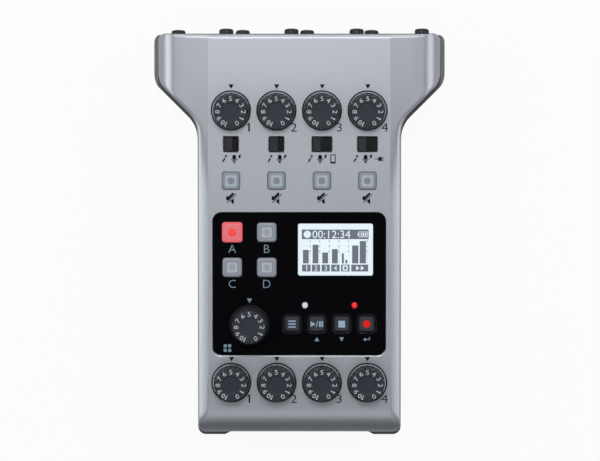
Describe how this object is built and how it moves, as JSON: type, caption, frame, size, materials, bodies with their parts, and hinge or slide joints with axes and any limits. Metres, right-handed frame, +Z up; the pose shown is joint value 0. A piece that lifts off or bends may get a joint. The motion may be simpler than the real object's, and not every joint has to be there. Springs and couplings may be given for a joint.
{
  "type": "podcast recorder",
  "caption": "Sloping desktop podcast recorder: a silver top that widens at the rear, knobs, slide switches, keys, sound pads and a display, with microphone sockets behind.",
  "frame": {"origin": "on the table under the middle of the device", "axes": "+X right, +Y from the front edge to the microphone sockets at the rear, +Z up"},
  "size_m": [0.112, 0.1559, 0.0474],
  "materials": {
    "upper_plastic": "satin silver",
    "lower_plastic": "fine matte charcoal",
    "window_black": "smooth black",
    "display_pale": "backlit pale blue",
    "lens_clear": "clear lens",
    "board_green": "lacquered board",
    "component_grey": "plain",
    "switch_black": "moulded black",
    "socket_black": "moulded black",
    "contact_gold": "plated",
    "screw_black": "blackened",
    "screw_steel": "zinc",
    "socket_steel": "pressed shell",
    "cell_can": "plain sleeve, density of a real cell",
    "foot_rubber": "soft black",
    "knob_dark": "matte graphite",
    "shaft_metal": "turned",
    "slider_black": "ribbed black",
    "key_grey": "translucent grey",
    "pad_grey": "translucent grey",
    "pad_red": "lit red",
    "transport_dark": "dark grey"
  },
  "bodies": {
    "case": {"upper_case": "upper_plastic", "lower_case": "lower_plastic", "rear_panel": "lower_plastic", "control_window": "window_black", "display_module": "display_pale", "indicator_lenses": "lens_clear", "control_board": "board_green", "main_board": "board_green", "input_board": "board_green", "pot_bodies": "component_grey", "switch_bodies": "switch_black", "key_switches": "switch_black", "xlr_shells": "socket_black", "xlr_inserts": "socket_black", "xlr_contacts": "contact_gold", "xlr_screws": "screw_black", "jack_sockets": "socket_black", "usb_sockets": "socket_steel", "card_socket": "socket_steel", "battery_cells": "cell_can", "battery_contacts": "socket_steel", "rubber_feet": "foot_rubber", "case_screws": "screw_steel"},
    "gain_1": {"gain_knob_1": "knob_dark", "gain_shaft_1": "shaft_metal"},
    "gain_2": {"gain_knob_2": "knob_dark", "gain_shaft_2": "shaft_metal"},
    "gain_3": {"gain_knob_3": "knob_dark", "gain_shaft_3": "shaft_metal"},
    "gain_4": {"gain_knob_4": "knob_dark", "gain_shaft_4": "shaft_metal"},
    "phones_1": {"phones_knob_1": "knob_dark", "phones_shaft_1": "shaft_metal"},
    "phones_2": {"phones_knob_2": "knob_dark", "phones_shaft_2": "shaft_metal"},
    "phones_3": {"phones_knob_3": "knob_dark", "phones_shaft_3": "shaft_metal"},
    "phones_4": {"phones_knob_4": "knob_dark", "phones_shaft_4": "shaft_metal"},
    "pad_level": {"pad_knob": "knob_dark", "pad_shaft": "shaft_metal"},
    "input_1": {"input_slider_1": "slider_black"},
    "input_2": {"input_slider_2": "slider_black"},
    "input_3": {"input_slider_3": "slider_black"},
    "input_4": {"input_slider_4": "slider_black"},
    "power": {"power_slider": "slider_black"},
    "mute_1": {"mute_key_1": "key_grey"},
    "mute_2": {"mute_key_2": "key_grey"},
    "mute_3": {"mute_key_3": "key_grey"},
    "mute_4": {"mute_key_4": "key_grey"},
    "pad_1": {"pad_key_1": "pad_red"},
    "pad_2": {"pad_key_2": "pad_grey"},
    "pad_3": {"pad_key_3": "pad_grey"},
    "pad_4": {"pad_key_4": "pad_grey"},
    "menu": {"menu_key": "transport_dark"},
    "play": {"play_key": "transport_dark"},
    "stop": {"stop_key": "transport_dark"},
    "record": {"record_key": "transport_dark"},
    "battery_lid": {"battery_cover": "lower_plastic"},
    "card_flap": {"card_door": "lower_plastic"}
  },
  "joints": [
    {"name": "gain_1_turn", "type": "hinge", "parent": "case", "child": "gain_1", "pos_m": [-0.02601, 0.04666, 0.03744], "axis": [0, -0.0645, 0.9979], "range_deg": [-150, 150]},
    {"name": "gain_2_turn", "type": "hinge", "parent": "case", "child": "gain_2", "pos_m": [-0.00867, 0.04666, 0.03744], "axis": [0, -0.0645, 0.9979], "range_deg": [-150, 150]},
    {"name": "gain_3_turn", "type": "hinge", "parent": "case", "child": "gain_3", "pos_m": [0.00867, 0.04666, 0.03744], "axis": [0, -0.0645, 0.9979], "range_deg": [-150, 150]},
    {"name": "gain_4_turn", "type": "hinge", "parent": "case", "child": "gain_4", "pos_m": [0.02601, 0.04666, 0.03744], "axis": [0, -0.0645, 0.9979], "range_deg": [-150, 150]},
    {"name": "phones_1_turn", "type": "hinge", "parent": "case", "child": "phones_1", "pos_m": [-0.02601, -0.05743, 0.0307], "axis": [0, -0.0645, 0.9979], "range_deg": [-150, 150]},
    {"name": "phones_2_turn", "type": "hinge", "parent": "case", "child": "phones_2", "pos_m": [-0.00867, -0.05743, 0.0307], "axis": [0, -0.0645, 0.9979], "range_deg": [-150, 150]},
    {"name": "phones_3_turn", "type": "hinge", "parent": "case", "child": "phones_3", "pos_m": [0.00867, -0.05743, 0.0307], "axis": [0, -0.0645, 0.9979], "range_deg": [-150, 150]},
    {"name": "phones_4_turn", "type": "hinge", "parent": "case", "child": "phones_4", "pos_m": [0.02601, -0.05743, 0.0307], "axis": [0, -0.0645, 0.9979], "range_deg": [-150, 150]},
    {"name": "pad_level_turn", "type": "hinge", "parent": "case", "child": "pad_level", "pos_m": [-0.019, -0.03527, 0.03214], "axis": [0, -0.0645, 0.9979], "range_deg": [-150, 150]},
    {"name": "input_1_slide", "type": "slide", "parent": "case", "child": "input_1", "axis": [1, 0, 0], "range_m": [0, 0.00215]},
    {"name": "input_2_slide", "type": "slide", "parent": "case", "child": "input_2", "axis": [1, 0, 0], "range_m": [0, 0.00215]},
    {"name": "input_3_slide", "type": "slide", "parent": "case", "child": "input_3", "axis": [1, 0, 0], "range_m": [0, 0.004]},
    {"name": "input_4_slide", "type": "slide", "parent": "case", "child": "input_4", "axis": [1, 0, 0], "range_m": [0, 0.004]},
    {"name": "power_slide", "type": "slide", "parent": "case", "child": "power", "axis": [0, 1, 0], "range_m": [0, 0.0028]},
    {"name": "mute_1_press", "type": "slide", "parent": "case", "child": "mute_1", "axis": [0, 0.0645, -0.9979], "range_m": [0, 0.0007], "stiffness_N_per_m": 800},
    {"name": "mute_2_press", "type": "slide", "parent": "case", "child": "mute_2", "axis": [0, 0.0645, -0.9979], "range_m": [0, 0.0007], "stiffness_N_per_m": 800},
    {"name": "mute_3_press", "type": "slide", "parent": "case", "child": "mute_3", "axis": [0, 0.0645, -0.9979], "range_m": [0, 0.0007], "stiffness_N_per_m": 800},
    {"name": "mute_4_press", "type": "slide", "parent": "case", "child": "mute_4", "axis": [0, 0.0645, -0.9979], "range_m": [0, 0.0007], "stiffness_N_per_m": 800},
    {"name": "pad_1_press", "type": "slide", "parent": "case", "child": "pad_1", "axis": [0, 0.0645, -0.9979], "range_m": [0, 0.0007], "stiffness_N_per_m": 800},
    {"name": "pad_2_press", "type": "slide", "parent": "case", "child": "pad_2", "axis": [0, 0.0645, -0.9979], "range_m": [0, 0.0007], "stiffness_N_per_m": 800},
    {"name": "pad_3_press", "type": "slide", "parent": "case", "child": "pad_3", "axis": [0, 0.0645, -0.9979], "range_m": [0, 0.0007], "stiffness_N_per_m": 800},
    {"name": "pad_4_press", "type": "slide", "parent": "case", "child": "pad_4", "axis": [0, 0.0645, -0.9979], "range_m": [0, 0.0007], "stiffness_N_per_m": 800},
    {"name": "menu_press", "type": "slide", "parent": "case", "child": "menu", "axis": [0, 0.0645, -0.9979], "range_m": [0, 0.0007], "stiffness_N_per_m": 800},
    {"name": "play_press", "type": "slide", "parent": "case", "child": "play", "axis": [0, 0.0645, -0.9979], "range_m": [0, 0.0007], "stiffness_N_per_m": 800},
    {"name": "stop_press", "type": "slide", "parent": "case", "child": "stop", "axis": [0, 0.0645, -0.9979], "range_m": [0, 0.0007], "stiffness_N_per_m": 800},
    {"name": "record_press", "type": "slide", "parent": "case", "child": "record", "axis": [0, 0.0645, -0.9979], "range_m": [0, 0.0007], "stiffness_N_per_m": 800},
    {"name": "battery_lid_turn", "type": "hinge", "parent": "case", "child": "battery_lid", "pos_m": [0, 0.0069, 0.0033], "axis": [-1, 0, 0], "range_deg": [0, 90]},
    {"name": "card_flap_turn", "type": "hinge", "parent": "case", "child": "card_flap", "pos_m": [-0.0379, -0.0139, 0.0062], "axis": [0, -1, 0], "range_deg": [0, 90]}
  ]
}
